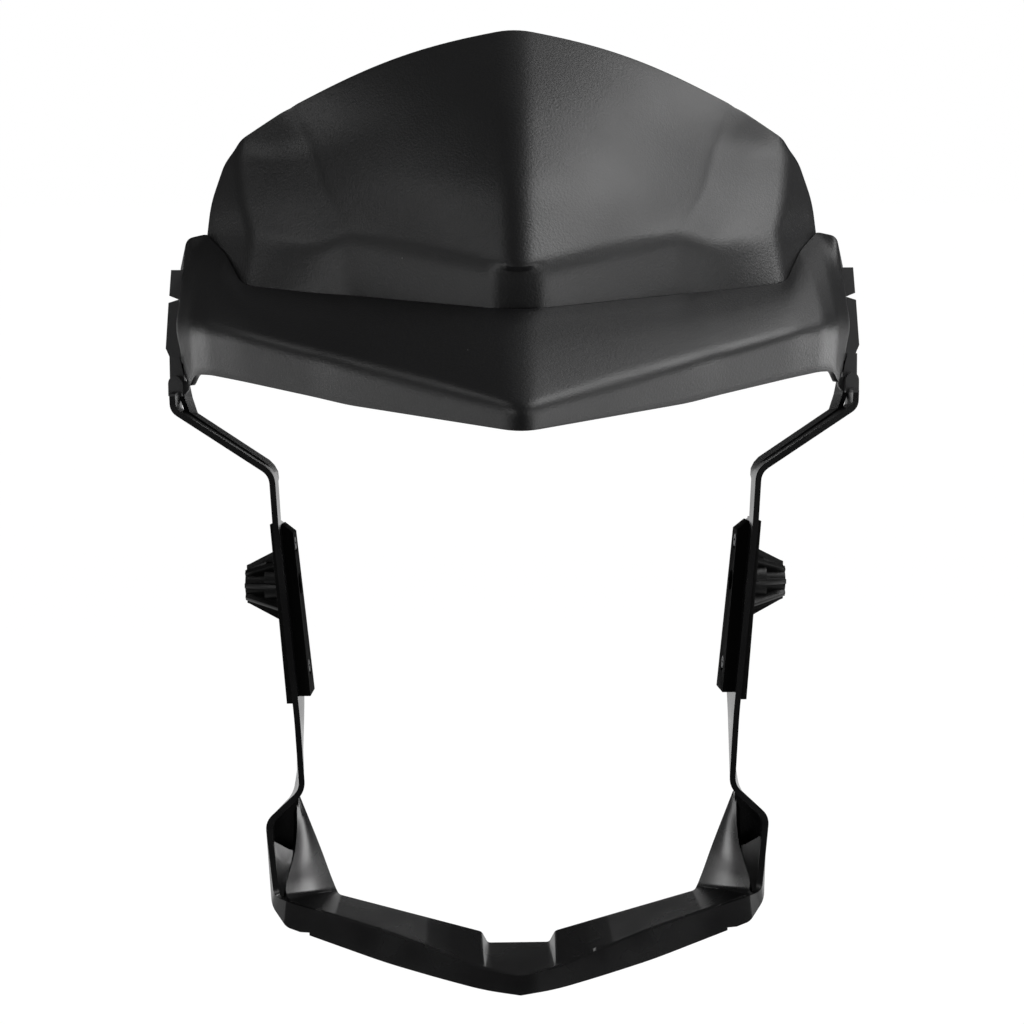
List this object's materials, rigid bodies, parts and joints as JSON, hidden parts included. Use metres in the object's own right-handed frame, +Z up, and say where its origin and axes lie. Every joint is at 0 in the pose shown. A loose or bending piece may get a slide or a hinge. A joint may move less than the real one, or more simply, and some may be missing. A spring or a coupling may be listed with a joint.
{
  "type": "motorcycle headlight mask",
  "caption": "Creased two-piece headlamp cowl on a U-shaped bezel frame with side bolt brackets and a shelf-like chin.",
  "frame": {"origin": "midpoint of the side-bolt axis, halfway between the tips of the two side bosses", "axes": "+X along the side-bolt axis towards the side that is on the right in a front view, +Y rearwards, +Z up; the front of the mask faces -Y"},
  "size_m": [0.3004, 0.1307, 0.3937],
  "materials": {
    "grained_cowl": "fine moulded grain, black",
    "frame_moulding": "smooth black moulding",
    "bracket_moulding": "plain matt black",
    "pad_rubber": "dull black rubber",
    "collar_steel": "zinc plated, turned",
    "screw_steel": "black zinc"
  },
  "bodies": {
    "root": {"upper_cowl": "grained_cowl", "brow_cowl": "grained_cowl", "bezel_frame": "frame_moulding", "left_mount_bracket": "bracket_moulding", "right_mount_bracket": "bracket_moulding", "left_inner_pad": "pad_rubber", "right_inner_pad": "pad_rubber", "left_bolt_collar": "collar_steel", "right_bolt_collar": "collar_steel", "cowl_screw_1": "screw_steel", "cowl_screw_2": "screw_steel", "cowl_screw_3": "screw_steel", "cowl_screw_4": "screw_steel", "ear_screw_left_low": "screw_steel", "ear_screw_left_high": "screw_steel", "ear_screw_right_low": "screw_steel", "ear_screw_right_high": "screw_steel", "pad_screw_left_low": "screw_steel", "pad_screw_left_high": "screw_steel", "pad_screw_right_low": "screw_steel", "pad_screw_right_high": "screw_steel"}
  },
  "joints": []
}
